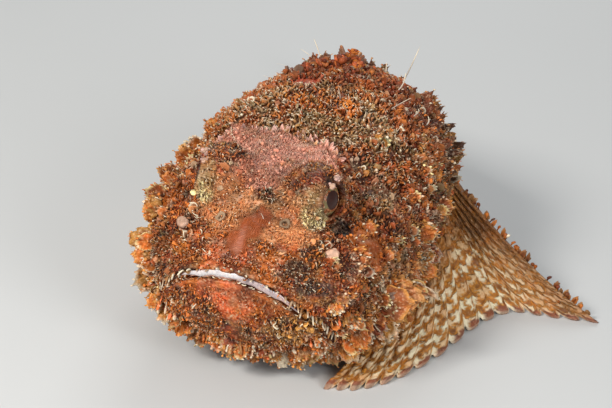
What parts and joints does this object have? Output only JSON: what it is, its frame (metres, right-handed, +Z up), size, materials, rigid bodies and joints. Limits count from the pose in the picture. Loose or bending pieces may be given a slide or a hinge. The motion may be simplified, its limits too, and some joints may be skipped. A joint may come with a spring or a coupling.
{
  "type": "spotted scorpionfish model",
  "caption": "Life-size scorpionfish lying at rest on its belly, broad head forward, one pectoral fin spread like a fan on the floor and skin covered in small flaps.",
  "frame": {"origin": "on the floor, in the flat underside of the belly, 100 mm behind the front of the jaws", "axes": "+Z up from the floor, -Y towards the snout, +Y along the body towards the tail, +X to the fish's left"},
  "size_m": [0.1664, 0.2771, 0.0786],
  "materials": {
    "head_skin": "matt wet skin, brick red and orange with pink crown and cream flaps",
    "body_skin": "matt wet skin, rust brown with orange and cream flaps",
    "fin_skin": "matt fin membrane and fleshy rays, banded brown, orange and cream",
    "eye": "wet dark eye with a mottled iris"
  },
  "bodies": {
    "root": {"head": "head_skin", "lower_jaw": "head_skin", "torso": "body_skin", "tail_stalk": "body_skin", "pectoral_fin_left": "fin_skin", "pectoral_fin_right": "fin_skin", "pelvic_fin_left": "fin_skin", "pelvic_fin_right": "fin_skin", "dorsal_fin_spiny": "fin_skin", "dorsal_fin_soft": "fin_skin", "anal_fin": "fin_skin", "caudal_fin": "fin_skin", "eye_left": "eye", "eye_right": "eye"}
  },
  "joints": []
}
